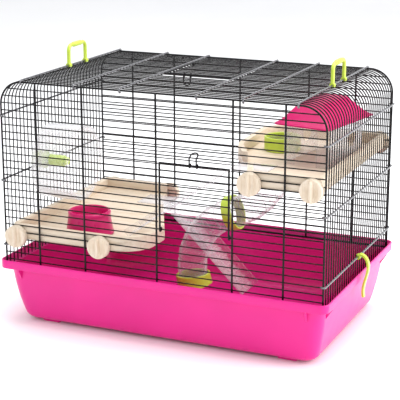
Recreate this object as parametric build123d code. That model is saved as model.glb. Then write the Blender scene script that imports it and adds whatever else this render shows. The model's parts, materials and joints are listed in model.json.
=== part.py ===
from build123d import *
import math
import os

# Wire-topped hamster cage. Millimetres, +Z up, front towards -Y.
# Origin: centre of the footprint, on the surface that the cage stands on.

# ---- Driving dimensions ------------------------------------------------------------------
BODY_W = 560.0          # wire top, between the end uprights' centre lines
BODY_D = 352.0
BODY_H = 304.0          # from the tub's rim to the roof frame
CORNER_R = 40.0         # bend between wall and roof
ROD_R = 1.6             # thick wire: frames, posts, cross rods, door frames
BAR_R = 1.0             # thin wire: bars
LATCH_R = 1.2
TOUCH = 0.03            # crossing wires stand this far apart
FIT = 0.10              # running clearance of a wire eye on its pin
BARS_UP = 25            # bar spaces between rim and roof
BARS_BACK = 30          # bar spaces between front and back

TUB_H = 109.0
FOOT_H = 4.0
WALL = 2.5
RIM_W = 580.0
RIM_D = 374.0
RIM_R = 14.0
SHELL_R = 23.0          # vertical corners of the tapered body
LEDGE_DROP = 12.0       # the wire top stands on a ledge this far below the rim
LEDGE_W = 10.5
WAIST_Z = 50.0          # the wall leans in faster below this height
WAIST_INSET = 17.0      # how far the wall lies inside the rim there
FLOOR_INSET = 28.0      # the same at the floor
FLOOR_R = 12.0

RAIL_H = 24.0           # wooden trays
RAIL_T = 9.0
BOARD_T = 6.0
TRAY_WALL_X = 272.0
TRAY_HALF_D = 172.0
KNOB_R = 18.8
KNOB_T = 8.0
GRIP_H = 4.5
SCREW_R = 2.5

WHEEL_R = 65.0
WHEEL_W = 68.0
WHEEL_Z = 256.0
HUB_R = 9.5
HUB_L = 30.0
AXLE_R = 4.0

TUBE_R = 27.0           # tunnel
TUBE_WALL = 2.0
COLLAR_R = 31.0
COLLAR_L = 18.0
COLLAR_FIT = 0.5        # straight collars clear the bent tubes by this much
TUNNEL_Y = 59.0
SHELF_HOLE = (125.0, TUNNEL_Y)
LOWER_BEND_R = 113.0
UPPER_BEND_R = 128.7
JOINT_TILT = 18.0       # degrees that the tunnel rises at its middle collar
LOWER_SWEEP = 90.5

LADDER_W = 56.0
LADDER_RAIL_H = 14.0
SHEET = 2.0             # wall of the clear plastic pieces

# ---- Derived places ----------------------------------------------------------------------
HALF_W = BODY_W / 2
HALF_D = BODY_D / 2
RIM_Z = FOOT_H + TUB_H
LEDGE_Z = RIM_Z - LEDGE_DROP
TOP_Z = RIM_Z + BODY_H
BEND_Z = TOP_Z - CORNER_R
BEND_X = HALF_W - CORNER_R
FOOT_Z = LEDGE_Z + TOUCH
BAR_PITCH = BODY_H / BARS_UP
WRAP_PITCH = BODY_D / BARS_BACK
BAR_Y = HALF_D - ROD_R - BAR_R - TOUCH
WRAP_OUT = ROD_R - BAR_R                     # wrap bars stand flush with the frames' outside
CROSS_OUT = WRAP_OUT + BAR_R + ROD_R + TOUCH
WRAP_X = HALF_W + WRAP_OUT
WRAP_Z = TOP_Z + WRAP_OUT
CROSS_X = HALF_W + CROSS_OUT
CROSS_Z = TOP_Z + CROSS_OUT
EYE_R = BAR_R + FIT + ROD_R                  # door eye about a bar
LATCH_EYE_R = ROD_R + FIT + LATCH_R          # latch eye about a door rail

POST_X = (-215.0, -130.0, 0.0, 130.0, 215.0)
ROOF_ROD_X = (-240.0, -143.0, -61.0, 70.0, 147.0, 235.0)
SIDE_ROD_Z = (RIM_Z + 26.0, RIM_Z + 137.0, RIM_Z + 246.0)

DOOR_X = (6.0, 124.0)                        # front door's stiles
DOOR_HINGE = 7                               # bar that the front door turns on
DOOR_TOP = 16                                # bar space that its top rail takes
LATCH_X = 64.5
ROOF_DOOR_X = (-55.0, 64.0)
ROOF_DOOR_FRONT = 13
ROOF_DOOR_HINGE = 23
ROOF_LATCH_X = -13.5
LATCH_HALF = 6.0


def bar_z(index):
    return RIM_Z + index * BAR_PITCH


def wrap_y(index):
    return -HALF_D + index * WRAP_PITCH


DOOR_HINGE_Z = bar_z(DOOR_HINGE)
DOOR_TOP_Z = bar_z(DOOR_TOP)
DOOR_Y = -(BAR_Y + EYE_R)
ROOF_HINGE_Y = wrap_y(ROOF_DOOR_HINGE)
ROOF_FRONT_Y = wrap_y(ROOF_DOOR_FRONT)
ROOF_DOOR_Z = WRAP_Z + EYE_R

LOWER_TRAY_Z = RIM_Z + 37.5
UPPER_TRAY_Z = RIM_Z + 170.3
LOWER_SCREW_Z = bar_z(3.5)
UPPER_SCREW_Z = bar_z(14.5)
LOWER_KNOBS = {"front": (-258.7, -103.5), "back": (-258.7, -142.0)}
UPPER_KNOBS = {"front": (158.0, 258.7), "back": (142.0, 258.7)}

HANDLE_X = (ROOF_ROD_X[0], ROOF_ROD_X[-1])
HANDLE_Y = (wrap_y(13.5), wrap_y(18.5))
HANDLE_H = 34.0
HANDLE_R = 3.2
GRIP_R = 4.4
CLIP_Y = wrap_y(14.5)


# ---- Small builders ----------------------------------------------------------------------
def rod(start, end, radius):
    """Straight round wire between two points."""
    start, end = Vector(*start), Vector(*end)
    along = end - start
    return Solid.make_cylinder(radius, along.length, Plane(origin=start, z_dir=along))


def bend(centre, first, axis, bend_r, radius, sweep):
    """Round wire along an arc that starts in direction first and turns about axis."""
    plane = Plane(origin=centre, x_dir=first, z_dir=axis)
    return Solid.make_torus(bend_r, radius, plane, 0, 360, sweep)


def ball(centre, radius):
    return Pos(*centre) * Sphere(radius)


def fused(pieces):
    """One solid from pieces that overlap."""
    whole = pieces[0]
    for piece in pieces[1:]:
        whole = whole + piece
    return whole


def wire_path(points, radius):
    """Bent wire through the points, with round elbows a touch fuller than the wire."""
    runs = [rod(a, b, radius) for a, b in zip(points, points[1:])]
    elbows = [ball(p, radius + TOUCH) for p in points[1:-1]]
    return fused(runs + elbows)


def outline(corners):
    """Flat face from (x, y, radius) corners."""
    with BuildSketch() as sketch:
        with BuildLine():
            Polyline(*[(x, y) for x, y, _ in corners], close=True)
        make_face()
        for x, y, radius in corners:
            if radius:
                fillet(sketch.vertices().sort_by_distance(Vector(x, y))[0], radius)
    return sketch.sketch


def rounded_block(size_x, size_y, radius, z_low, z_high):
    return Pos(0, 0, z_low) * extrude(RectangleRounded(size_x, size_y, radius), z_high - z_low)


def ring(outer_r, inner_r, length):
    return Cylinder(outer_r, length) - Cylinder(inner_r, length)


def save(name, pieces):
    """Write one node: a list of separate solids, or one shape."""
    solids = []
    for piece in pieces if isinstance(pieces, (list, tuple)) else [pieces]:
        solids.extend(piece.solids())
    shape = solids[0] if len(solids) == 1 else Compound(children=solids)
    export_step(shape, f"parts/{name}.step")


# ---- Tub ---------------------------------------------------------------------------------
def tub_shell(shrink, floor_z, round_r):
    """Tapered body between the ledge and the floor, shrunk by a wall thickness."""
    rows = ((floor_z, FLOOR_INSET), (WAIST_Z, WAIST_INSET), (LEDGE_Z, LEDGE_W))
    faces = []
    for z, inset in rows:
        width, depth = RIM_W - 2 * (inset + shrink), RIM_D - 2 * (inset + shrink)
        faces.append(Pos(0, 0, z) * RectangleRounded(width, depth, SHELL_R - shrink))
    body = loft(faces[:2])
    return fillet(body.edges().group_by(Axis.Z)[0], round_r) + loft(faces[1:])


def gusset(x_dir, offset, reach):
    """Thin web under the ledge, from the skirt in to the wall."""
    skirt = reach - WALL / 2
    with BuildSketch(Plane.XZ) as web:
        with BuildLine():
            Polyline(
                (skirt, LEDGE_Z - WALL / 2),
                (skirt, LEDGE_Z - 2 * WALL),
                (skirt - LEDGE_W - 2.0, LEDGE_Z - 24.0),
                (skirt - LEDGE_W - 16.0, LEDGE_Z - 24.0),
                (skirt - LEDGE_W - 16.0, LEDGE_Z - WALL / 2),
                close=True,
            )
        make_face()
    plate = extrude(web.sketch, 1.5, both=True)
    return Rot(0, 0, x_dir) * Pos(0, offset, 0) * plate


def base_tub():
    body = tub_shell(0, FOOT_H, FLOOR_R)
    skirt = rounded_block(RIM_W, RIM_D, RIM_R, LEDGE_Z - WALL, RIM_Z)
    well = rounded_block(RIM_W - 2 * WALL, RIM_D - 2 * WALL, RIM_R - WALL, LEDGE_Z, RIM_Z)
    whole = body + (skirt - well)
    for x in (-214, 214):
        for y in (-141, 141):
            whole += Pos(x, y, 8) * Box(34, 18, 16)
    for turn in (0, 180):
        for side in (-150, 150):
            whole += gusset(turn, side, RIM_W / 2)
    for turn in (90, 270):
        for side in (-254, 254):
            whole += gusset(turn, side, RIM_D / 2)
    return whole - tub_shell(WALL, FOOT_H + WALL, FLOOR_R - WALL)


# ---- Wire top: end panels ----------------------------------------------------------------
def panel_frame(y):
    """One end frame: two uprights, two bends, a roof rail and a foot rail."""
    pieces = [rod((-BEND_X, y, TOP_Z), (BEND_X, y, TOP_Z), ROD_R)]
    for side in (-1, 1):
        pieces.append(rod((side * HALF_W, y, FOOT_Z), (side * HALF_W, y, BEND_Z), ROD_R))
        centre = (side * BEND_X, y, BEND_Z)
        pieces.append(bend(centre, (side, 0, 0), (0, -side, 0), CORNER_R, ROD_R, 90))
    foot_x = HALF_W - ROD_R
    foot_z = FOOT_Z + ROD_R
    pieces.append(rod((-foot_x, y, foot_z), (foot_x, y, foot_z), ROD_R))
    return pieces


def panel_posts(y):
    low, high = FOOT_Z + 2 * ROD_R, TOP_Z - ROD_R
    return [rod((x, y, low), (x, y, high), ROD_R) for x in POST_X]


def bar_reach(z):
    """Half length of a bar at this height, inside the frame's round corners."""
    if z <= BEND_Z:
        return HALF_W
    return BEND_X + math.sqrt(CORNER_R**2 - (z - BEND_Z) ** 2)


def panel_bars(y, doorway):
    """Level bars of an end panel, cut short beside the doorway if there is one."""
    pieces = []
    for index in range(BARS_UP):
        z, reach = bar_z(index), bar_reach(bar_z(index))
        if doorway and DOOR_HINGE < index <= DOOR_TOP:
            left, right = POST_X[2] + ROD_R, POST_X[3] - ROD_R
            pieces.append(rod((-reach, y, z), (left, y, z), BAR_R))
            pieces.append(rod((right, y, z), (reach, y, z), BAR_R))
        else:
            pieces.append(rod((-reach, y, z), (reach, y, z), BAR_R))
    return pieces


# ---- Wire top: wall and roof bars --------------------------------------------------------
def wall_bars(side):
    x = side * WRAP_X
    lines = [wrap_y(i) for i in range(1, BARS_BACK)]
    return [rod((x, y, FOOT_Z), (x, y, BEND_Z), BAR_R) for y in lines]


def wall_bends(side):
    radius = CORNER_R + WRAP_OUT
    lines = [wrap_y(i) for i in range(1, BARS_BACK)]
    centres = [(side * BEND_X, y, BEND_Z) for y in lines]
    return [bend(c, (side, 0, 0), (0, -side, 0), radius, BAR_R, 90) for c in centres]


def roof_bars():
    pieces = []
    for index in range(1, BARS_BACK):
        y = wrap_y(index)
        if ROOF_DOOR_FRONT <= index < ROOF_DOOR_HINGE:
            left, right = ROOF_ROD_X[2] + ROD_R, ROOF_ROD_X[3] - ROD_R
            pieces.append(rod((-BEND_X, y, WRAP_Z), (left, y, WRAP_Z), BAR_R))
            pieces.append(rod((right, y, WRAP_Z), (BEND_X, y, WRAP_Z), BAR_R))
        else:
            pieces.append(rod((-BEND_X, y, WRAP_Z), (BEND_X, y, WRAP_Z), BAR_R))
    return pieces


def cross_rod(x, z, frame_x, frame_z):
    """Rod from front to back, each end hooked half round the frame wire."""
    out = Vector(x - frame_x, 0, z - frame_z).normalized()
    whole = rod((x, -HALF_D, z), (x, HALF_D, z), ROD_R)
    for end in (-1, 1):
        centre = (frame_x, end * HALF_D, frame_z)
        axis = out.cross(Vector(0, end, 0))
        whole += bend(centre, tuple(out), tuple(axis), CROSS_OUT, ROD_R, 180)
    return whole


def roof_rods():
    return [cross_rod(x, CROSS_Z, x, TOP_Z) for x in ROOF_ROD_X]


def side_rods(side):
    return [cross_rod(side * CROSS_X, z, side * HALF_W, z) for z in SIDE_ROD_Z]


# ---- Doors and latches -------------------------------------------------------------------
def front_door_frame():
    """Top rail and two stiles; each stile ends in an eye about the hinge bar."""
    left, right = DOOR_X[0] + ROD_R + TOUCH, DOOR_X[1] - ROD_R - TOUCH
    pieces = [rod((left, DOOR_Y, DOOR_TOP_Z), (right, DOOR_Y, DOOR_TOP_Z), ROD_R)]
    for x in DOOR_X:
        low, high = (x, DOOR_Y, DOOR_HINGE_Z), (x, DOOR_Y, DOOR_TOP_Z)
        eye = bend((x, -BAR_Y, DOOR_HINGE_Z), (0, -1, 0), (1, 0, 0), EYE_R, ROD_R, 300)
        pieces.append(rod(low, high, ROD_R) + eye + ball(high, ROD_R))
    return pieces


def front_door_bars():
    low, high = DOOR_X[0] - ROD_R, DOOR_X[1] + ROD_R
    lines = [bar_z(i) for i in range(DOOR_HINGE + 1, DOOR_TOP)]
    return [rod((low, -BAR_Y, z), (high, -BAR_Y, z), BAR_R) for z in lines]


def front_door_latch():
    """Wire loop on the door's top rail that leans over the bar above it."""
    y = DOOR_Y - LATCH_EYE_R
    knee_z = bar_z(DOOR_TOP + 1) + 0.3
    tip_y, tip_z = -BAR_Y + 0.6, knee_z + 3.6
    pieces = []
    for side in (-1, 1):
        x = LATCH_X + side * LATCH_HALF
        leg = [(x, y, DOOR_TOP_Z), (x, y, knee_z), (x, tip_y, tip_z)]
        pieces.append(wire_path(leg, LATCH_R))
        pieces.append(ball(leg[-1], LATCH_R + TOUCH))
        centre = (x, DOOR_Y, DOOR_TOP_Z)
        pieces.append(bend(centre, (0, -1, 0), (1, 0, 0), LATCH_EYE_R, LATCH_R, 270))
    slope = Vector(0, tip_y - y, tip_z - knee_z).normalized()
    arch_axis = slope.cross(Vector(1, 0, 0))
    centre = (LATCH_X, tip_y, tip_z)
    pieces.append(bend(centre, (1, 0, 0), tuple(-arch_axis), LATCH_HALF, LATCH_R, 180))
    return fused(pieces)


def roof_door_frame():
    """Front rail and two stiles; each stile ends in an eye about the hinge bar."""
    z = ROOF_DOOR_Z
    left, right = ROOF_DOOR_X[0] + ROD_R + TOUCH, ROOF_DOOR_X[1] - ROD_R - TOUCH
    pieces = [rod((left, ROOF_FRONT_Y, z), (right, ROOF_FRONT_Y, z), ROD_R)]
    for x in ROOF_DOOR_X:
        front, back = (x, ROOF_FRONT_Y, z), (x, ROOF_HINGE_Y, z)
        eye = bend((x, ROOF_HINGE_Y, WRAP_Z), (0, 0, 1), (-1, 0, 0), EYE_R, ROD_R, 300)
        pieces.append(rod(front, back, ROD_R) + eye + ball(front, ROD_R))
    return pieces


def roof_door_bars():
    low, high = ROOF_DOOR_X[0] - ROD_R, ROOF_DOOR_X[1] + ROD_R
    lines = [wrap_y(i) for i in range(ROOF_DOOR_FRONT + 1, ROOF_DOOR_HINGE)]
    return [rod((low, y, WRAP_Z), (high, y, WRAP_Z), BAR_R) for y in lines]


def roof_door_latch():
    """Wire loop that hangs from the roof door's front rail."""
    y = ROOF_FRONT_Y - LATCH_EYE_R
    low = ROOF_DOOR_Z - 11.0
    pieces = []
    for side in (-1, 1):
        x = ROOF_LATCH_X + side * LATCH_HALF
        pieces.append(rod((x, y, ROOF_DOOR_Z), (x, y, low), LATCH_R))
        centre = (x, ROOF_FRONT_Y, ROOF_DOOR_Z)
        pieces.append(bend(centre, (0, -1, 0), (-1, 0, 0), LATCH_EYE_R, LATCH_R, 270))
    centre = (ROOF_LATCH_X, y, low)
    pieces.append(bend(centre, (-1, 0, 0), (0, -1, 0), LATCH_HALF, LATCH_R, 180))
    return fused(pieces)


# ---- Handles and clips -------------------------------------------------------------------
def carry_handle(x):
    """Upright loop with an eye at each foot, about a roof rod."""
    low, high = HANDLE_Y
    foot, top = CROSS_Z + ROD_R + 1.5, CROSS_Z + HANDLE_H
    corners = [(x, low, foot), (x, low, top), (x, high, top), (x, high, foot)]
    with BuildLine() as route:
        FilletPolyline(*corners, radius=10)
    with BuildSketch(Plane(origin=corners[0], z_dir=(0, 0, 1))) as section:
        Circle(HANDLE_R)
    whole = sweep(section.sketch, path=route.line)
    middle = (low + high) / 2
    whole += rod((x, middle - 11, top), (x, middle + 11, top), GRIP_R)
    for y in (middle - 11, middle + 11):
        whole += ball((x, y, top), GRIP_R)
    for y in HANDLE_Y:
        whole += Pos(x, y, CROSS_Z) * Rot(90, 0, 0) * Cylinder(4.4, 7.4)
    for y in HANDLE_Y:
        whole -= Pos(x, y, CROSS_Z) * Rot(90, 0, 0) * Cylinder(ROD_R + FIT, 20)
    return whole


def side_clip(side):
    """S-shaped clip that turns on the lowest side rod and swings past the rim."""
    width, half = 8.0, 1.9
    z = SIDE_ROD_Z[0]
    spine = Spline(
        (HALF_W + 5.5, z + 4.0),
        (HALF_W + 14.0, z + 1.0),
        (HALF_W + 20.0, z - 10.0),
        (HALF_W + 19.5, z - 26.0),
        (HALF_W + 15.5, z - 42.0),
        (HALF_W + 13.2, z - 56.0),
        (HALF_W + 14.5, z - 68.0),
    )
    edges = {-1: [], 1: []}
    for step in range(13):
        place, along = spine @ (step / 12), spine % (step / 12)
        for face, points in edges.items():
            points.append((place.X - face * half * along.Y, place.Y + face * half * along.X))
    with BuildSketch(Plane.XZ) as profile:
        with BuildLine():
            Spline(*edges[-1])
            Spline(*edges[1])
            Line(edges[-1][0], edges[1][0])
            Line(edges[-1][-1], edges[1][-1])
        make_face()
    body = extrude(profile.sketch, width / 2, both=True)
    eye = Pos(CROSS_X, 0, z) * Rot(90, 0, 0) * Cylinder(4.6, width)
    bore = Pos(CROSS_X, 0, z) * Rot(90, 0, 0) * Cylinder(ROD_R + FIT, 2 * width)
    clip = Pos(0, CLIP_Y, 0) * (body + eye - bore)
    return clip if side > 0 else clip.mirror(Plane.YZ)


# ---- Wooden trays ------------------------------------------------------------------------
LOWER_PLAN = (
    (-TRAY_WALL_X, -TRAY_HALF_D, 14.0),
    (-30.0, -TRAY_HALF_D, 50.0),
    (-30.0, -82.0, 20.0),
    (-140.0, 146.0, 20.0),
    (-140.0, TRAY_HALF_D, 10.0),
    (-TRAY_WALL_X, TRAY_HALF_D, 14.0),
)
UPPER_PLAN = (
    (TRAY_WALL_X, -TRAY_HALF_D, 14.0),
    (152.0, -TRAY_HALF_D, 12.0),
    (128.0, -108.0, 80.0),
    (66.0, 0.0, 80.0),
    (58.0, TRAY_HALF_D, 42.0),
    (TRAY_WALL_X, TRAY_HALF_D, 14.0),
)
LADDER_GAP_Y = (-118.0, -50.0)               # break in the upper tray's free-end rail


def block(x_range, y_range, z_range=(0.0, 600.0)):
    """Box between opposite corners."""
    spans = [(high + low) / 2 for low, high in (x_range, y_range, z_range)]
    sizes = [high - low for low, high in (x_range, y_range, z_range)]
    return Pos(*spans) * Box(*sizes)


def rail_loop(face, z):
    """Rail round a tray's outline."""
    return Pos(0, 0, z) * extrude(face - offset(face, -RAIL_T), RAIL_H)


def drill(rail, row, z):
    """Holes for the knob screws, through a front or back rail's outer face."""
    for x in row:
        for y in (-TRAY_HALF_D, TRAY_HALF_D):
            rail -= Pos(x, y, z) * Rot(90, 0, 0) * Cylinder(SCREW_R, 12)
    return rail


def cut_rails(loop, wall_side):
    """Front, back and wall lengths of a rail loop, and what is left of it."""
    edge = TRAY_HALF_D - RAIL_T
    front = loop & block((-300, 300), (-300, -edge))
    back = loop & block((-300, 300), (edge, 300))
    inner = TRAY_WALL_X - RAIL_T
    wall_x = (inner, 300) if wall_side > 0 else (-300, -inner)
    wall = loop & block(wall_x, (-edge, edge))
    return front, back, wall, loop - front - back - wall


def lower_tray():
    """Board with three rails; the slanted edge stays open."""
    face = outline(LOWER_PLAN)
    loop = rail_loop(face, LOWER_TRAY_Z)
    front, back, wall, rest = cut_rails(loop, -1)
    front += rest & block((-90, 0), (-300, -84))
    board = Pos(0, 0, LOWER_TRAY_Z) * extrude(face, BOARD_T)
    board = board - front - back - wall
    front = drill(front, LOWER_KNOBS["front"], LOWER_SCREW_Z)
    back = drill(back, LOWER_KNOBS["back"], LOWER_SCREW_Z)
    return {"front_rail": front, "back_rail": back, "wall_rail": wall, "board": board}


def upper_tray():
    """Board with a rail all round, but for a gap where the ladder lands."""
    face = outline(UPPER_PLAN)
    loop = rail_loop(face, UPPER_TRAY_Z)
    front, back, wall, rest = cut_rails(loop, 1)
    free_end = rest - block((0, 200), LADDER_GAP_Y)
    board = Pos(0, 0, UPPER_TRAY_Z) * extrude(offset(face, -RAIL_T), BOARD_T)
    board -= Pos(*SHELF_HOLE, UPPER_TRAY_Z) * Cylinder(TUBE_R + COLLAR_FIT, 40)
    front = drill(front, UPPER_KNOBS["front"], UPPER_SCREW_Z)
    back = drill(back, UPPER_KNOBS["back"], UPPER_SCREW_Z)
    rails = {"front_rail": front, "back_rail": back, "wall_rail": wall, "end_rail": free_end}
    return {**rails, "board": board}


def knob_screws():
    pieces = []
    for knobs, z in ((LOWER_KNOBS, LOWER_SCREW_Z), (UPPER_KNOBS, UPPER_SCREW_Z)):
        for end, row in ((-1, knobs["front"]), (1, knobs["back"])):
            for x in row:
                inner = end * (TRAY_HALF_D - 6.0)
                outer = end * (HALF_D + ROD_R + KNOB_T - 2.0)
                pieces.append(rod((x, inner, z), (x, outer, z), SCREW_R))
    return pieces


def wing_knob(x, z, end):
    """Round knob with a finger grip across it and a blind bore for its screw."""
    back = HALF_D + ROD_R + 0.2
    disc = Pos(0, -back - KNOB_T / 2, 0) * Rot(90, 0, 0) * Cylinder(KNOB_R, KNOB_T)
    disc = fillet(disc.edges().filter_by(GeomType.CIRCLE).sort_by(Axis.Y)[0], 2.5)
    boss = Pos(0, -back + 1.2, 0) * Rot(90, 0, 0) * Cylinder(7, 2.6)
    grip = Pos(0, -back - KNOB_T - GRIP_H / 2 + 0.5, 0) * Box(7, GRIP_H + 1, 30)
    bore = Pos(0, -back - 0.5, 0) * Rot(90, 0, 0) * Cylinder(SCREW_R + FIT / 2, 14)
    knob = disc + boss + grip - bore
    return Pos(x, 0, z) * (knob if end < 0 else knob.mirror(Plane.XZ))


# ---- Wheel -------------------------------------------------------------------------------
WHEEL_Y = wrap_y(11.5)                       # the axle passes between two wall bars
WHEEL_BACK = -270.0                          # wall side of the drum
CLAMP_X = -(CROSS_X + ROD_R + TOUCH)         # inner face of the outer clamp plate
CLAMP_T = 6.0


def wheel_drum():
    """Clear drum, closed towards the wall and open towards the cage."""
    rim = ring(WHEEL_R, WHEEL_R - SHEET, WHEEL_W)
    rim += Pos(0, 0, WHEEL_W / 2 - SHEET / 2) * ring(WHEEL_R, WHEEL_R - 8, SHEET)
    rim += Pos(0, 0, SHEET / 2 - WHEEL_W / 2) * ring(WHEEL_R, HUB_R, SHEET)
    for step in range(24):
        turn = Rot(0, 0, step * 15)
        rim += turn * Pos(WHEEL_R - SHEET - 0.6, 0, 0) * Box(1.6, 2.0, WHEEL_W - SHEET)
    for step in range(6):
        turn = Rot(0, 0, 30 + step * 60)
        plate = Pos(37, 0, SHEET + 0.5 - WHEEL_W / 2) * Box(50, 3, 3)
        rim += turn * plate
    centre = Pos(WHEEL_BACK + WHEEL_W / 2, WHEEL_Y, WHEEL_Z)
    return centre * Rot(0, 90, 0) * rim


def wheel_hub():
    """Coloured sleeve that turns on the axle and carries the drum."""
    sleeve = ring(HUB_R, AXLE_R + FIT / 2, HUB_L)
    centre = Pos(WHEEL_BACK + HUB_L / 2, WHEEL_Y, WHEEL_Z)
    return centre * Rot(0, 90, 0) * sleeve


def wheel_axle():
    """Axle with a round plate that bears on the inside of the wall bars."""
    plate_x = -WRAP_X + BAR_R + TOUCH
    plate = Pos(plate_x + 1.5, WHEEL_Y, WHEEL_Z) * Rot(0, 90, 0) * Cylinder(16, 3)
    spacer = Pos(plate_x + 5, WHEEL_Y, WHEEL_Z) * Rot(0, 90, 0) * Cylinder(8, 6)
    outer = (CLAMP_X - CLAMP_T, WHEEL_Y, WHEEL_Z)
    shaft = rod(outer, (WHEEL_BACK + HUB_L + 4, WHEEL_Y, WHEEL_Z), AXLE_R)
    return plate + spacer + shaft


def wheel_clamp():
    """Plate outside the wall bars and rod, pressed on the axle's outer end."""
    plate = Pos(CLAMP_X - CLAMP_T / 2, WHEEL_Y, WHEEL_Z) * Rot(0, 90, 0) * Cylinder(15, CLAMP_T)
    outer = (CLAMP_X - 2 * CLAMP_T, WHEEL_Y, WHEEL_Z)
    return plate - rod(outer, (WHEEL_BACK, WHEEL_Y, WHEEL_Z), AXLE_R)


def wheel_cap():
    """Button on the axle's free end that keeps the hub on."""
    x = WHEEL_BACK + HUB_L + 0.3
    cap = Pos(x + 3, WHEEL_Y, WHEEL_Z) * Rot(0, 90, 0) * Cylinder(7, 6)
    return cap - rod((x - 1, WHEEL_Y, WHEEL_Z), (x + 3.7, WHEEL_Y, WHEEL_Z), AXLE_R)


# ---- Tunnel ------------------------------------------------------------------------------
TUNNEL_TOP_Z = UPPER_TRAY_Z + BOARD_T + 18.0
JOINT_DROP = UPPER_BEND_R * math.cos(math.radians(JOINT_TILT))
JOINT_X = SHELF_HOLE[0] - UPPER_BEND_R * (1 - math.sin(math.radians(JOINT_TILT)))
JOINT_Z = UPPER_TRAY_Z + 7.0 - JOINT_DROP


def tube_bend(centre, first, axis, bend_r, sweep):
    outer = bend(centre, first, axis, bend_r, TUBE_R, sweep)
    return outer - bend(centre, first, axis, bend_r, TUBE_R - TUBE_WALL, sweep)


def joint_frame():
    """Place and heading of the tunnel's middle collar."""
    tilt = math.radians(JOINT_TILT)
    heading = Vector(math.cos(tilt), 0, math.sin(tilt))
    normal = Vector(-math.sin(tilt), 0, math.cos(tilt))
    return Vector(JOINT_X, TUNNEL_Y, JOINT_Z), heading, normal


def tunnel_lower():
    joint, _, normal = joint_frame()
    centre = joint - normal * LOWER_BEND_R
    return tube_bend(tuple(centre), tuple(normal), (0, -1, 0), LOWER_BEND_R, LOWER_SWEEP)


def tunnel_upper():
    joint, _, normal = joint_frame()
    centre = joint + normal * UPPER_BEND_R
    sweep = 90 - JOINT_TILT
    curve = tube_bend(tuple(centre), tuple(-normal), (0, -1, 0), UPPER_BEND_R, sweep)
    length = TUNNEL_TOP_Z - centre.Z
    riser = Pos(*SHELF_HOLE, centre.Z + length / 2) * ring(TUBE_R, TUBE_R - TUBE_WALL, length)
    return curve + riser


def joint_collar():
    """Straight sleeve over the meeting ends of both tubes."""
    joint, heading, _ = joint_frame()
    plane = Plane(origin=tuple(joint), z_dir=tuple(heading))
    return plane * ring(COLLAR_R, TUBE_R + COLLAR_FIT, COLLAR_L)


def floor_collar():
    """Bent sleeve over the tunnel's lower end; it reaches a little past the tube."""
    joint, _, normal = joint_frame()
    centre = joint - normal * LOWER_BEND_R
    start = math.radians(90 + JOINT_TILT + LOWER_SWEEP - 11.5)
    first = (math.cos(start), 0, math.sin(start))
    outer = bend(tuple(centre), first, (0, -1, 0), LOWER_BEND_R, COLLAR_R, 14)
    return outer - bend(tuple(centre), first, (0, -1, 0), LOWER_BEND_R, TUBE_R + TOUCH, 14)


def shelf_collar():
    low = UPPER_TRAY_Z + BOARD_T
    return Pos(*SHELF_HOLE, low + 12) * ring(COLLAR_R, TUBE_R + COLLAR_FIT, 24)


# ---- Ladders -----------------------------------------------------------------------------
def ladder(low, high, y_mid, flange):
    """Channel-shaped ladder from low to high (x, z), with a flange that lies on the tray."""
    run, rise = abs(high[0] - low[0]), high[1] - low[1]
    length = math.hypot(run, rise)
    pitch = math.degrees(math.atan2(rise, run))
    deck = Pos(length / 2, 0, SHEET / 2) * Box(length, LADDER_W, SHEET)
    for side in (-1, 1):
        wall = Pos(length / 2, side * (LADDER_W - SHEET) / 2, LADDER_RAIL_H / 2)
        deck += wall * Box(length, SHEET, LADDER_RAIL_H)
    count = int(length // 16)
    for step in range(count):
        along = (step + 0.5) * length / count
        deck += Pos(along, 0, SHEET + 1) * Box(3, LADDER_W - SHEET, 3)
    climb = Rot(0, -pitch, 0) * deck
    climb += Pos(run + flange / 2 - 1.5, 0, rise + SHEET / 2) * Box(flange, LADDER_W, SHEET)
    turn = 0 if high[0] > low[0] else 180
    return Pos(low[0], y_mid, low[1]) * Rot(0, 0, turn) * climb


# ---- House and bowl ----------------------------------------------------------------------
HOUSE_AT = (209.0, 24.0)
HOUSE_TURN = -10.0
HOUSE_BODY = (84.0, 124.0, 66.0)
ROOF_TIERS = ((104.0, 158.0, 0.0), (82.0, 132.0, 10.0), (48.0, 84.0, 34.0))
BOWL_AT = (-154.0, -114.0)


def house_body():
    """Clear open-bottomed box with an arched doorway at the front and a window each side."""
    width, depth, height = HOUSE_BODY
    shell = Pos(0, 0, height / 2) * Box(width, depth, height)
    shell = fillet(shell.edges().filter_by(Axis.Z), 8)
    hollow = Pos(0, 0, height / 2) * Box(width - 2 * SHEET, depth - 2 * SHEET, height)
    shell -= fillet(hollow.edges().filter_by(Axis.Z), 8 - SHEET)
    arch = Pos(0, -depth / 2, 26) * Rot(90, 0, 0) * Cylinder(20, 20)
    arch += Pos(0, -depth / 2, 13) * Box(40, 20, 26)
    window = Pos(0, 18, 36) * Rot(0, 90, 0) * Cylinder(14, width + 20)
    return Pos(*HOUSE_AT, UPPER_TRAY_Z + BOARD_T) * Rot(0, 0, HOUSE_TURN) * (shell - arch - window)


def hood(shrink):
    """Flared brim and steep slopes below a flat ridge, shrunk by a wall thickness."""
    faces = []
    for width, depth, rise in ROOF_TIERS:
        low = rise - shrink if rise else 0
        faces.append(Pos(0, 0, low) * RectangleRounded(width - 2 * shrink, depth - 2 * shrink, 10))
    return loft(faces[:2]) + loft(faces[1:])


def house_roof():
    """Hollow hipped roof on a plate that rests on the body; it lifts off."""
    shell = hood(0) - hood(SHEET)
    shell += extrude(RectangleRounded(ROOF_TIERS[0][0] - 1, ROOF_TIERS[0][1] - 1, 9.5), SHEET)
    width, depth, height = HOUSE_BODY
    shell -= Pos(0, 0, SHEET / 2) * Box(width - 8, depth - 8, 2 * SHEET)
    top_z = UPPER_TRAY_Z + BOARD_T + height + 0.2
    return Pos(*HOUSE_AT, top_z) * Rot(0, 0, HOUSE_TURN) * shell


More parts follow.
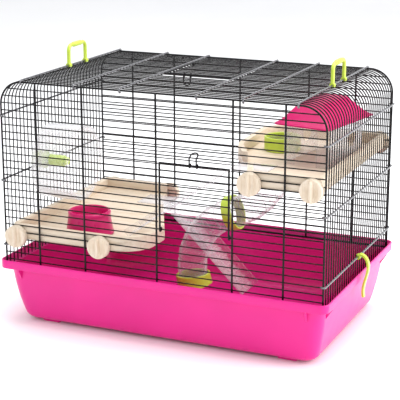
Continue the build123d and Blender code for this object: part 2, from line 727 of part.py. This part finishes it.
def food_bowl():
    """Heavy dish, wider at its foot, with a round hollow."""
    dish = Pos(0, 0, 20) * Cone(41, 34.5, 40)
    dish = fillet(dish.edges().group_by(Axis.Z)[-1], 2.5)
    hollow = Pos(0, 0, 40 - 12) * Cone(24, 31, 24.2)
    return Pos(*BOWL_AT, LOWER_TRAY_Z + BOARD_T + 0.1) * (dish - hollow)


# ---- Writing the nodes -------------------------------------------------------------------
def save_trays():
    for name, pieces in (("lower", lower_tray()), ("upper", upper_tray())):
        for part, solid in pieces.items():
            save(f"{name}_tray_{part}", solid)
    rows = (("lower", LOWER_KNOBS, LOWER_SCREW_Z), ("upper", UPPER_KNOBS, UPPER_SCREW_Z))
    for level, knobs, z in rows:
        for place, end in (("front", -1), ("back", 1)):
            for number, x in enumerate(knobs[place], 1):
                save(f"{level}_{place}_knob_{number}", wing_knob(x, z, end))
    save("knob_screws", knob_screws())


def save_ladders():
    shelf_z = UPPER_TRAY_Z + BOARD_T + 0.2
    deck_z = LOWER_TRAY_Z + BOARD_T + 0.2
    save("upper_ladder", ladder((-83.0, deck_z), (101.0, shelf_z), -84.0, 60.0))
    save("floor_ladder", ladder((42.0, FOOT_H + WALL + 0.6), (-112.0, deck_z), 115.5, 54.0))


def main():
    os.makedirs("parts", exist_ok=True)
    save("base_tub", base_tub())
    for name, side in (("front", -1), ("back", 1)):
        save(f"{name}_frame", panel_frame(side * HALF_D))
        save(f"{name}_posts", panel_posts(side * HALF_D))
        save(f"{name}_bars", panel_bars(side * BAR_Y, side < 0))
    for name, side in (("left", -1), ("right", 1)):
        save(f"{name}_wall_bars", wall_bars(side))
        save(f"{name}_bends", wall_bends(side))
        save(f"{name}_rods", side_rods(side))
        save(f"{name}_clip", side_clip(side))
    save("roof_bars", roof_bars())
    save("roof_rods", roof_rods())
    save("front_door_frame", front_door_frame())
    save("front_door_bars", front_door_bars())
    save("front_door_latch", front_door_latch())
    save("roof_door_frame", roof_door_frame())
    save("roof_door_bars", roof_door_bars())
    save("roof_door_latch", roof_door_latch())
    for name, x in zip(("left", "right"), HANDLE_X):
        save(f"{name}_handle", carry_handle(x))
    save_trays()
    save("wheel_drum", wheel_drum())
    save("wheel_hub", wheel_hub())
    save("wheel_axle", wheel_axle())
    save("wheel_clamp", wheel_clamp())
    save("wheel_cap", wheel_cap())
    save("tunnel_lower", tunnel_lower())
    save("tunnel_upper", tunnel_upper())
    save("tunnel_joint_collar", joint_collar())
    save("tunnel_floor_collar", floor_collar())
    save("tunnel_shelf_collar", shelf_collar())
    save_ladders()
    save("house_body", house_body())
    save("house_roof", house_roof())
    save("food_bowl", food_bowl())


main()
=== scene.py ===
import json
import math

import bmesh
import bpy
from mathutils import Matrix, Vector


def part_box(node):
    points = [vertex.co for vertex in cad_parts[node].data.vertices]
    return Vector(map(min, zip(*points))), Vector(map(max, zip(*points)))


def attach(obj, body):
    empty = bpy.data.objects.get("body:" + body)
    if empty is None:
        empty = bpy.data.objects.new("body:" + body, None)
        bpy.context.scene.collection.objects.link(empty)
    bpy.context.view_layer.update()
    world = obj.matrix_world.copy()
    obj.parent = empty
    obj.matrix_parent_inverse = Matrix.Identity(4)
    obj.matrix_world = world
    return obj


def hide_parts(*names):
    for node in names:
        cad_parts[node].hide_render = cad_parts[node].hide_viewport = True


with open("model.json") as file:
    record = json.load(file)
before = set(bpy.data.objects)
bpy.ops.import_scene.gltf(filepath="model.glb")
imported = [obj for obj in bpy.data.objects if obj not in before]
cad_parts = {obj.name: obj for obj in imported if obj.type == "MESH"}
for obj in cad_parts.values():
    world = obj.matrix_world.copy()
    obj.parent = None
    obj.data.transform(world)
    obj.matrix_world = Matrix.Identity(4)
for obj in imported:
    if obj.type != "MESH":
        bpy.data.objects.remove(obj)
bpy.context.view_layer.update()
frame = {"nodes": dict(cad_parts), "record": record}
MM = 0.001
BODY_OF = {n: body for body, ns in frame["record"]["behaviour"]["bodies"].items() for n in ns}
SLOT_OF = {s["node"]: s["material_slot"] for s in frame["record"]["subparts"]}


# ---- Materials ---------------------------------------------------------------------------
class Shader:
    """A Principled material and short calls that add nodes to it."""

    def __init__(self, name, **settings):
        self.mat = bpy.data.materials.new(name)
        self.mat.use_nodes = True
        self.tree = self.mat.node_tree
        self.out = self.tree.nodes["Principled BSDF"]
        for key, value in settings.items():
            self.out.inputs[key.replace("_", " ")].default_value = value

    def add(self, kind, inputs=(), **props):
        made = self.tree.nodes.new(kind)
        for key, value in props.items():
            setattr(made, key, value)
        for key, value in dict(inputs).items():
            if isinstance(value, bpy.types.NodeSocket):
                self.tree.links.new(value, made.inputs[key])
            else:
                made.inputs[key].default_value = value
        return made

    def link(self, source, target):
        self.tree.links.new(source, self.out.inputs[target])

    def place(self, scale=(1, 1, 1)):
        """Object coordinates in metres, stretched by scale."""
        where = self.add("ShaderNodeTexCoord").outputs["Object"]
        return self.add("ShaderNodeMapping", {"Vector": where, "Scale": scale}).outputs["Vector"]

    def noise(self, where, size, detail=4.0, rough=0.5, warp=0.0):
        """Soft noise whose blotches are about size metres wide."""
        values = {"Vector": where, "Scale": 1 / size, "Detail": detail, "Roughness": rough}
        return self.add("ShaderNodeTexNoise", {**values, "Distortion": warp}).outputs["Fac"]

    def ramp(self, factor, *stops):
        made = self.add("ShaderNodeValToRGB", {"Fac": factor})
        while len(made.color_ramp.elements) < len(stops):
            made.color_ramp.elements.new(0.5)
        for element, (place, colour) in zip(made.color_ramp.elements, stops):
            element.position = place
            element.color = (*colour, 1)
        return made.outputs["Color"]

    def span(self, factor, low, high, start=0.3, end=0.7):
        values = {"Value": factor, "From Min": start, "From Max": end, "To Min": low, "To Max": high}
        return self.add("ShaderNodeMapRange", values).outputs["Result"]

    def bump(self, height, depth, under=None):
        """Relief of depth metres, on top of another relief."""
        made = self.add("ShaderNodeBump", {"Height": height, "Strength": 1.0, "Distance": depth})
        if under is not None:
            self.tree.links.new(under, made.inputs["Normal"])
        return made.outputs["Normal"]


def shade(colour, factor):
    """A colour made lighter or darker."""
    return tuple(min(1.0, c * factor) for c in colour)


def moulded(name, colour, rough=0.28, coat=0.35, vary=0.04, relief=0.00003, **settings):
    """Moulded plastic: slow colour drift, uneven gloss, fine skin and a gentle sink."""
    s = Shader(name, Coat_Weight=coat, Coat_Roughness=0.12, **settings)
    where = s.place()
    drift = s.noise(where, 0.09, 2.0)
    s.link(s.ramp(drift, (0.3, shade(colour, 1 - vary)), (0.7, shade(colour, 1 + vary))), "Base Color")
    skin = s.noise(where, 0.0011, 3.0)
    smear = s.noise(where, 0.022, 3.0, 0.6)
    s.link(s.span(smear, rough - 0.015, rough + 0.02), "Roughness")
    wave = s.bump(s.noise(where, 0.08, 0.0), relief * 2)
    s.link(s.bump(skin, relief / 4, wave), "Normal")
    return s.mat


def painted_wire(name, dark, light, gloss, coat, metal=0.0):
    """Enamel over steel wire, with drips, specks and worn thin spots."""
    s = Shader(name, Metallic=metal, Coat_Weight=coat, Coat_Roughness=0.12, Specular_IOR_Level=gloss)
    where = s.place()
    patch = s.noise(where, 0.012, 4.0, 0.6)
    base = s.ramp(patch, (0.35, dark), (0.75, light))
    s.link(base, "Base Color")
    s.link(s.span(s.noise(where, 0.004, 3.0), 0.16, 0.34), "Roughness")
    drip = s.bump(s.noise(where, 0.006, 2.0), 0.00012)
    s.link(s.bump(s.noise(where, 0.0007, 2.0), 0.00002, drip), "Normal")
    return s.mat


def sanded_wood(name, grain):
    """Pale plywood: long grain along one axis, pores, flecks and a slow tone drift."""
    s = Shader(name, Specular_IOR_Level=0.25)
    along, across = 1.0, 14.0
    scale = tuple(along if axis == grain else across for axis in "XYZ")
    where = s.place(scale)
    rings = s.noise(where, 0.075, 5.0, 0.62, 0.6)
    dark, middle, pale = (0.62, 0.49, 0.36), (0.71, 0.60, 0.47), (0.77, 0.67, 0.56)
    tone = s.ramp(rings, (0.30, dark), (0.47, middle), (0.72, pale))
    pores = s.noise(s.place(tuple(v * (2 if v > 1 else 1) for v in scale)), 0.03, 3.0, 0.7)
    fleck = s.ramp(pores, (0.36, (0.88, 0.84, 0.78)), (0.50, (1.0, 1.0, 1.0)))
    mixed = s.add("ShaderNodeMix", data_type="RGBA", blend_type="MULTIPLY")
    mixed.inputs[0].default_value = 0.55
    s.tree.links.new(tone, mixed.inputs[6])
    s.tree.links.new(fleck, mixed.inputs[7])
    s.link(mixed.outputs[2], "Base Color")
    s.link(s.span(rings, 0.62, 0.46), "Roughness")
    s.link(s.bump(pores, 0.0001, s.bump(rings, 0.0002)), "Normal")
    return s.mat


def clear_plastic(name, colour, face, edge, rough=0.06):
    """See-through plastic: faint when seen square on, with a white painted reflection that grows towards
    its edges.
    """
    s = Shader(name, IOR=1.49, Coat_Weight=0.5, Coat_Roughness=0.05)
    where = s.place()
    haze = s.noise(where, 0.03, 3.0)
    s.link(s.ramp(haze, (0.3, shade(colour, 0.95)), (0.7, colour)), "Base Color")
    # The pale base grows more opaque at grazing angles: painted reflection along silhouettes and edges.
    rim = s.add("ShaderNodeLayerWeight", {"Blend": 0.45}).outputs["Facing"]
    s.link(s.span(rim, face, edge, 0.3, 0.95), "Alpha")
    s.link(s.span(s.noise(where, 0.008, 3.0), rough, rough + 0.08), "Roughness")
    s.link(s.bump(s.noise(where, 0.012, 2.0), 0.0001), "Normal")
    return s.mat


def turned_steel():
    """Bare steel with fine marks around the turning axis."""
    s = Shader("screw_steel", Metallic=1.0)
    where = s.place((1, 30, 1))
    brushed = s.noise(where, 0.01, 4.0)
    s.link(s.ramp(brushed, (0.3, (0.42, 0.42, 0.44)), (0.7, (0.66, 0.66, 0.68))), "Base Color")
    s.link(s.span(brushed, 0.25, 0.42), "Roughness")
    return s.mat


PINK = (0.74, 0.014, 0.245)
LIME = (0.52, 0.68, 0.055)
MAGENTA = (0.56, 0.003, 0.12)
BLACKS = (0.001, 0.001, 0.0015), (0.005, 0.0045, 0.006)
# Greys for the roof and side rods: the same black enamel wire, lightened to grey as painted sheen where
# these rods catch the light.
SHEEN_GREYS = (0.10, 0.10, 0.11), (0.20, 0.20, 0.21)
MATS = {
    "tub_plastic": moulded("tub_plastic", PINK, 0.32, 0.12, Specular_IOR_Level=0.3),
    "wire_paint": painted_wire("wire_enamel", *BLACKS, 0.16, 0.1),
    "rod_paint_and_sheen": painted_wire("rod_enamel_and_sheen", *SHEEN_GREYS, 0.5, 0.6, 0.6),
    "lime_plastic": moulded("lime_plastic", LIME, 0.3, 0.3),
    "wood_x": sanded_wood("wood_grain_x", "X"),
    "wood_y": sanded_wood("wood_grain_y", "Y"),
    "wood_z": sanded_wood("wood_grain_z", "Z"),
    "clear_plastic": clear_plastic("clear_plastic", (0.80, 0.78, 0.80), 0.11, 0.8),
    "wheel_clear": clear_plastic("wheel_clear", (0.84, 0.84, 0.86), 0.13, 0.9),
    "roof_plastic": moulded("roof_plastic", MAGENTA, 0.32, 0.05, Specular_IOR_Level=0.2),
    "bowl_plastic": moulded("bowl_plastic", MAGENTA, 0.28, 0.12, Specular_IOR_Level=0.3),
    "screw_steel": turned_steel(),
}
GRAIN = {"wall_rail": "wood_y", "end_rail": "wood_y", "knob": "wood_z"}


def material_of(node):
    slot = SLOT_OF[node]
    if node == "wheel_drum":
        return MATS["wheel_clear"]
    # Roof and side rods take the grey copy of the wire enamel, a painted sheen.
    if node.endswith("_rods"):
        return MATS["rod_paint_and_sheen"]
    if slot != "pale_wood":
        return MATS[slot]
    for words, name in GRAIN.items():
        if words in node:
            return MATS[name]
    return MATS["wood_x"]


# ---- Mesh helpers ------------------------------------------------------------------------
def declare(obj, *nodes):
    """The piece takes the place, body, finish and material of CAD nodes."""
    first = nodes[0]
    obj.data.materials.clear()
    obj.data.materials.append(material_of(first))
    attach(obj, BODY_OF[first])
    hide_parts(*nodes)
    return obj


def finished(name, bm, angle=40):
    """Object from a bmesh, smooth but for edges sharper than angle."""
    bmesh.ops.recalc_face_normals(bm, faces=bm.faces)
    mesh = bpy.data.meshes.new(name)
    bm.to_mesh(mesh)
    bm.free()
    mesh.polygons.foreach_set("use_smooth", [True] * len(mesh.polygons))
    mesh.set_sharp_from_angle(angle=math.radians(angle))
    obj = bpy.data.objects.new(name, mesh)
    bpy.context.scene.collection.objects.link(obj)
    return obj


def stack(bm, rings, close_ends=True, loop=False):
    """Skin over rings of equal length; loop joins the last ring to the first."""
    rows = [[bm.verts.new(p) for p in ring] for ring in rings]
    pairs = list(zip(rows, rows[1:])) + ([(rows[-1], rows[0])] if loop else [])
    for a, b in pairs:
        for i in range(len(a)):
            j = (i + 1) % len(a)
            bm.faces.new((a[i], a[j], b[j], b[i]))
    if close_ends and not loop:
        bm.faces.new(rows[0])
        bm.faces.new(rows[-1])


def lathe(bm, profile, spin=64, place=Matrix.Identity(4)):
    """Closed profile of (radius, height) turned about the local Z axis."""
    turn = [math.tau * i / spin for i in range(spin)]
    rings = []
    for r, height in profile:
        rings.append([place @ Vector((r * math.cos(t), r * math.sin(t), height)) for t in turn])
    stack(bm, rings, loop=True)


def rounded(points, radius, steps=4):
    """Closed (x, y) loop with every corner cut to a small arc."""
    out = []
    for i, here in enumerate(points):
        before, after = points[i - 1], points[(i + 1) % len(points)]
        a, b, c = Vector(before), Vector(here), Vector(after)
        cut = min(radius, (a - b).length * 0.45, (c - b).length * 0.45)
        start, end = b + (a - b).normalized() * cut, b + (c - b).normalized() * cut
        for k in range(steps + 1):
            t = k / steps
            out.append(tuple(start * (1 - t) ** 2 + b * 2 * t * (1 - t) + end * t * t))
    return out


def soften(node, width, segments=3, angle=35):
    """The CAD shape with its sharp edges rounded over."""
    bm = bmesh.new()
    bm.from_mesh(frame["nodes"][node].data)
    bmesh.ops.remove_doubles(bm, verts=bm.verts, dist=1e-6)
    bmesh.ops.dissolve_limit(bm, angle_limit=math.radians(0.6), verts=bm.verts, edges=bm.edges)
    limit = math.radians(angle)
    sharp = [e for e in bm.edges if len(e.link_faces) == 2 and e.calc_face_angle(0) > limit]
    bmesh.ops.bevel(
        bm, geom=sharp, offset=width, offset_type="OFFSET", segments=segments,
        profile=0.5, affect="EDGES", clamp_overlap=True,
    )
    obj = finished(node + "_soft", bm, 32)
    return declare(obj, node)


# ---- Tub ---------------------------------------------------------------------------------
TUB_WALL = 2.5 * MM
TUB_CORNER = 23 * MM
LEDGE_WIDTH = 10.5 * MM
RIM_HEIGHT = 12 * MM
FOOT_HEIGHT = 4 * MM
FOOT_X, FOOT_Y = 214 * MM, 141 * MM
GUSSET_X, GUSSET_Y = 254 * MM, 150 * MM


def rounded_ring(half_x, half_y, corner, z, steps=10):
    """Level rectangle with round corners, as a loop of points at height z."""
    points = []
    for quarter in range(4):
        sx, sy = ((1, 1), (-1, 1), (-1, -1), (1, -1))[quarter]
        cx, cy = sx * (half_x - corner), sy * (half_y - corner)
        for k in range(steps + 1):
            t = math.radians(quarter * 90 + 90 * k / steps)
            points.append(Vector((cx + corner * math.cos(t), cy + corner * math.sin(t), z)))
    return points


def tub():
    """Tapered tub with a ledge and raised rim, on four feet, with webs under the ledge."""
    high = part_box("base_tub")[1]
    half_x, half_y, top = high.x, high.y, high.z
    wall, ledge, foot = TUB_WALL, top - RIM_HEIGHT, FOOT_HEIGHT
    in_x, in_y = half_x - LEDGE_WIDTH, half_y - LEDGE_WIDTH

    def lean(share):
        """How far the wall has come in at this share of its height."""
        return (17.5 - 28.35 * share + 10.85 * share**2) * MM

    def shell(inset, bottom, bend_r, steps=9):
        """Rings from the middle of the floor up the tapered wall to the ledge."""
        rings = []
        for share in (0.25, 0.5, 0.72, 0.86):
            bx, by = in_x - lean(0) - inset - bend_r, in_y - lean(0) - inset - bend_r
            rings.append((bx * share, by * share, max(2 * MM, 20 * MM * share), bottom))
        for k in range(steps + 1):
            t = math.radians(-90 + 78 * k / steps)
            out_r, rise = bend_r * (1 - math.cos(t)), bend_r * (1 + math.sin(t))
            share = rise / (ledge - foot)
            back = inset + out_r + lean(share)
            corner = max(5 * MM, TUB_CORNER - inset - out_r)
            rings.append((in_x - back, in_y - back, corner, bottom + rise))
        for share in (0.2, 0.3, 0.42, 0.54, 0.66, 0.78, 0.9, 0.96):
            z = foot + share * (ledge - foot)
            back = inset + lean(share)
            rings.append((in_x - back, in_y - back, TUB_CORNER - inset, z))
        return rings

    r = 1.0 * MM
    lip = [
        (in_x + 1.2 * MM, in_y + 1.2 * MM, TUB_CORNER, ledge - wall),
        (half_x - 3 * MM, half_y - 3 * MM, 12 * MM, ledge - wall),
        (half_x - r, half_y - r, 13 * MM, ledge - wall),
        (half_x - 0.3 * r, half_y - 0.3 * r, 13.7 * MM, ledge - wall + 0.3 * r),
        (half_x, half_y, 14 * MM, ledge - wall + r),
        (half_x, half_y, 14 * MM, top - r),
        (half_x - 0.3 * r, half_y - 0.3 * r, 13.7 * MM, top - 0.3 * r),
        (half_x - r, half_y - r, 13 * MM, top),
        (half_x - wall + 0.6 * r, half_y - wall + 0.6 * r, 11.9 * MM, top - 0.1 * r),
        (half_x - wall, half_y - wall, 11.5 * MM, top - r),
        (half_x - wall, half_y - wall, 11.5 * MM, ledge + r),
        (half_x - wall - r, half_y - wall - r, 10.5 * MM, ledge),
        (in_x - wall + 2 * r, in_y - wall + 2 * r, 22 * MM, ledge),
        (in_x - wall + 0.3 * r, in_y - wall + 0.3 * r, 21 * MM, ledge - 0.6 * r),
    ]
    outer, inner = shell(0, foot, 12 * MM), shell(wall, foot + wall, 9.5 * MM)
    bm = bmesh.new()
    stack(bm, [rounded_ring(*ring) for ring in outer + lip + inner[::-1]])
    for sx in (-1, 1):
        for sy in (-1, 1):
            tub_foot(bm, sx * FOOT_X, sy * FOOT_Y)
            gusset(bm, Matrix.Rotation(math.pi / 2 * (1 - sx), 4, "Z"), half_x, sy * GUSSET_Y)
            gusset(bm, Matrix.Rotation(-math.pi / 2 * sy, 4, "Z"), half_y, sx * GUSSET_X)
    return declare(finished("tub", bm, 50), "base_tub")


def tub_foot(bm, x, y):
    """Low oval foot that ends inside the floor."""
    rows = ((14.0, 6.2, 0.0), (15.8, 7.8, 0.4), (16.6, 8.6, 1.6), (17.0, 9.0, 5.5))
    rings = [rounded_ring(a * MM, b * MM, 4 * MM, z * MM, 4) for a, b, z in rows]
    stack(bm, [[p + Vector((x, y, 0)) for p in ring] for ring in rings])


def gusset(bm, turn, reach, side):
    """Thin web between the ledge and the wall."""
    top_z, lip_z, low_z = 100 * MM, 96.2 * MM, 78.2 * MM
    web = [(reach - 1.6 * MM, top_z), (reach - 1.6 * MM, lip_z), (reach - 13.2 * MM, low_z),
           (reach - 14.4 * MM, low_z), (reach - 12.2 * MM, top_z)]
    web = rounded(web, 0.8 * MM, 2)
    middle = Vector((sum(x for x, _ in web) / len(web), sum(z for _, z in web) / len(web)))
    layers = []
    for inset, half in ((0.5, -1.5), (0.1, -1.3), (0.0, -0.9), (0.0, 0.9), (0.1, 1.3), (0.5, 1.5)):
        layer = []
        for x, z in web:
            way = (middle - Vector((x, z))).normalized() * inset * MM
            layer.append(turn @ Vector((x + way.x, side + half * MM, z + way.y)))
        layers.append(layer)
    stack(bm, layers)


# ---- Tunnel ------------------------------------------------------------------------------
SEGMENT = 24 * MM
SWEEP_LOW, SWEEP_HIGH = 90.5, 72


def ribbed_tube(node, centre, first, axis, bend_r, sweep, riser=0.0):
    """Clear tube in pinched segments along an arc, with a straight end of length riser."""
    outer_r, depth, wall = 26.9 * MM, 2.0 * MM, 1.4 * MM
    swell, pinch_half, taper, step = 0.6 * MM, 1.7 * MM, 9 * MM, 0.9 * MM
    centre, first, axis = Vector(centre), Vector(first).normalized(), Vector(axis).normalized()
    length = bend_r * math.radians(sweep) + riser
    count = int(length / step)
    pitch = length / round(length / SEGMENT)
    spin = 44
    outside, inside = [], []
    for k in range(count + 1):
        s = length * k / count
        turned = min(s / bend_r, math.radians(sweep))
        arm = Matrix.Rotation(turned, 3, axis) @ first
        ahead = axis.cross(arm)
        middle = centre + arm * bend_r + ahead * (s - turned * bend_r)
        off = (s + pitch / 2) % pitch - pitch / 2
        pinch = math.exp(-((off / pinch_half) ** 2))
        near_end = min(1.0, min(s, length - s) / taper)
        belly = swell * (1 - math.cos(math.tau * s / pitch)) / 2
        radius = outer_r - (depth * pinch + swell - belly) * near_end
        for rings, r in ((outside, radius), (inside, radius - wall)):
            ring = []
            for i in range(spin):
                t = math.tau * i / spin
                ring.append(middle + (arm * math.cos(t) + axis * math.sin(t)) * r)
            rings.append(ring)
    bm = bmesh.new()
    stack(bm, outside + inside[::-1], loop=True)
    return declare(finished(node + "_ribbed", bm, 60), node)


def tunnel():
    """Two bends that meet on one slanted line, from the tub's floor to the high shelf."""
    low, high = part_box("tunnel_shelf_collar")
    hole, shelf = (low + high) / 2, low.z
    bend_low, bend_high, tilt = 113 * MM, 128.7 * MM, math.radians(18)
    centre_up = Vector((hole.x - bend_high, hole.y, shelf + 1.0 * MM))
    normal = Vector((-math.sin(tilt), 0, math.cos(tilt)))
    joint = centre_up - normal * bend_high
    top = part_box("tunnel_upper")[1].z
    ribbed_tube("tunnel_upper", centre_up, -normal, (0, -1, 0), bend_high, SWEEP_HIGH, top - centre_up.z)
    ribbed_tube("tunnel_lower", joint - normal * bend_low, normal, (0, -1, 0), bend_low, SWEEP_LOW)


# ---- Knobs, bowl, wheel ------------------------------------------------------------------
def knob(node):
    """Turned wooden disc with a carved grip down its middle."""
    low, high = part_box(node)
    facing = -1 if low.y < 0 else 1
    radius = (high.x - low.x) / 2
    back = high.y if facing < 0 else low.y
    seat = back - facing * 2.5 * MM
    depth = abs((low.y if facing < 0 else high.y) - seat)
    middle = Vector(((low.x + high.x) / 2, back, (low.z + high.z) / 2))

    def height(x, z):
        half = 0.3 * MM + 3.4 * MM * math.sqrt(max(0.0, 1 - (z / (16.5 * MM)) ** 2))
        grip = 1 / (1 + math.exp((abs(x) - half) / (0.4 * MM)))
        run = max(0.0, 1 - (abs(z) / (17.5 * MM)) ** 6)
        scoop = ((abs(x) - 6.5 * MM) / (5.0 * MM)) ** 2 + (z / (11 * MM)) ** 2
        return depth - 4.6 * MM - 3.6 * MM * math.exp(-scoop) + 4.5 * MM * grip * run

    def at(x, z, h):
        return Vector((middle.x + x, seat + facing * h, middle.z + z))

    spin = 80
    turn = [math.tau * i / spin for i in range(spin)]
    back_edge = [(6 * MM, 0.0), (radius - 1.6 * MM, 0.0), (radius - 0.5 * MM, 0.4 * MM)]
    rings = []
    for r, h in back_edge + [(radius, 1.6 * MM), (radius, 4.4 * MM)]:
        rings.append([at(r * math.cos(t), r * math.sin(t), h) for t in turn])
    steps = 28
    for k in range(steps + 1):
        r = radius * (0.985 - 0.965 * k / steps) if k else radius - 0.35 * MM
        droop = 1.6 * MM * max(0.0, (r / radius - 0.86) / 0.14) ** 2
        ring = []
        for t in turn:
            x, z = r * math.cos(t), r * math.sin(t)
            ring.append(at(x, z, height(x, z) - droop))
        rings.append(ring)
    bm = bmesh.new()
    stack(bm, rings)
    return declare(finished(node + "_turned", bm, 60), node)


def bowl():
    """Heavy dish with a rolled lip, a waist ring and a dished inside."""
    low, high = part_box("food_bowl")
    tall = (high.z - low.z) / MM
    outside = [(0.5, 0.6), (30, 0.6), (36, 0.0), (39.6, 0.2), (41.0, 1.6), (40.9, 4.0), (39.8, 5.2),
               (39.2, 7.0), (38.2, 14), (37.0, 21), (36.2, 27), (35.6, 32), (35.4, 34.0)]
    lip = [(36.0, 35.0), (36.0, 37.2), (35.2, 39.0), (33.6, tall), (32.0, 39.6), (31.2, 38.2)]
    inside = [(30.2, 33), (28.8, 27), (26.8, 21.5), (23.0, 18.0), (15.0, 16.4), (0.5, 16.0)]
    place = Matrix.Translation(((low.x + high.x) / 2, (low.y + high.y) / 2, low.z))
    bm = bmesh.new()
    lathe(bm, [(r * MM, z * MM) for r, z in outside + lip + inside], 72, place)
    return declare(finished("bowl", bm, 60), "food_bowl")


# Words in a node's name, with the edge radius in millimetres and its segments.
SOFT_EDGES = {
    "tray": (1.5, 3), "handle": (0.8, 3), "clip": (0.8, 3), "collar": (1.2, 3),
    "wheel_axle": (0.9, 3), "wheel_clamp": (0.9, 3), "wheel_cap": (0.9, 3), "wheel_hub": (0.9, 3),
    "ladder": (0.4, 2), "wheel_drum": (0.4, 2), "house_body": (0.5, 2), "house_roof": (0.7, 3),
}


def build():
    """Every modelled piece, then materials for the CAD nodes that stay in view."""
    tub()
    tunnel()
    bowl()
    for node in frame["nodes"]:
        if "knob_" in node and node != "knob_screws":
            knob(node)
            continue
        for words, (width, segments) in SOFT_EDGES.items():
            if words in node:
                soften(node, width * MM, segments)
                break
    for node, obj in frame["nodes"].items():
        if not obj.hide_render:
            for place in obj.material_slots:
                place.material = material_of(node)
            if not obj.material_slots:
                obj.data.materials.append(material_of(node))


# ---- Floor, light and camera -------------------------------------------------------------
def floor():
    """Pale backdrop: a level floor that curves up into a wall behind."""
    s = Shader("studio_floor", Specular_IOR_Level=0.2)
    grain = s.noise(s.place(), 0.4, 2.0)
    s.link(s.ramp(grain, (0.3, (0.95, 0.95, 0.955)), (0.7, (0.965, 0.965, 0.97))), "Base Color")
    s.link(s.span(grain, 0.75, 0.85), "Roughness")
    bm = bmesh.new()
    half_width, bend_start, bend_r, steps = 9.0, 4.0, 1.5, 12
    rows = [(-6.0, 0.0)]
    for k in range(steps + 1):
        t = math.radians(90 * k / steps)
        rows.append((bend_start + bend_r * math.sin(t), bend_r * (1 - math.cos(t))))
    rows.append((bend_start + bend_r, 6.0))
    lines = [[bm.verts.new((x, y, z)) for x in (-half_width, half_width)] for y, z in rows]
    for a, b in zip(lines, lines[1:]):
        bm.faces.new((a[0], a[1], b[1], b[0]))
    sweep = finished("studio_sweep", bm, 60)
    sweep.data.materials.append(s.mat)


def softbox(name, where, aim, size, power):
    """White rectangular light turned towards a point."""
    data = bpy.data.lights.new(name, "AREA")
    data.shape = "RECTANGLE"
    data.size, data.size_y = size
    data.energy = power
    obj = bpy.data.objects.new(name, data)
    obj.location = where
    obj.rotation_euler = (Vector(aim) - Vector(where)).to_track_quat("-Z", "Y").to_euler()
    bpy.context.scene.collection.objects.link(obj)


def studio():
    """Even sky light, the backdrop and three soft lights."""
    world = bpy.data.worlds.new("studio")
    world.use_nodes = True
    world.node_tree.nodes["Background"].inputs["Color"].default_value = (0.97, 0.98, 1.0, 1)
    world.node_tree.nodes["Background"].inputs["Strength"].default_value = 0.9
    bpy.context.scene.world = world
    floor()
    softbox("key_right", (2.3, 0.5, 1.0), (0.2, 0, 0.2), (1.6, 1.8), 48)
    softbox("front_left", (-1.6, -2.4, 1.6), (0, 0, 0.2), (1.6, 1.2), 4)
    softbox("overhead", (0.2, 0.2, 2.6), (0, 0, 0), (2.4, 2.0), 74)


LENS, SENSOR = 117.6, 36
CAMERA_AT = (0.8613, -1.9702, 0.7956)
CAMERA_DOWN, CAMERA_ROUND = math.radians(15.44), math.radians(23.65)


def camera():
    data = bpy.data.cameras.new("camera")
    data.lens = LENS
    data.sensor_width = SENSOR
    obj = bpy.data.objects.new("camera", data)
    obj.location = CAMERA_AT
    obj.rotation_euler = (math.pi / 2 - CAMERA_DOWN, 0, CAMERA_ROUND)
    bpy.context.scene.collection.objects.link(obj)
    bpy.context.scene.camera = obj


bpy.context.scene.view_settings.view_transform = "Standard"
camera()
studio()
build()
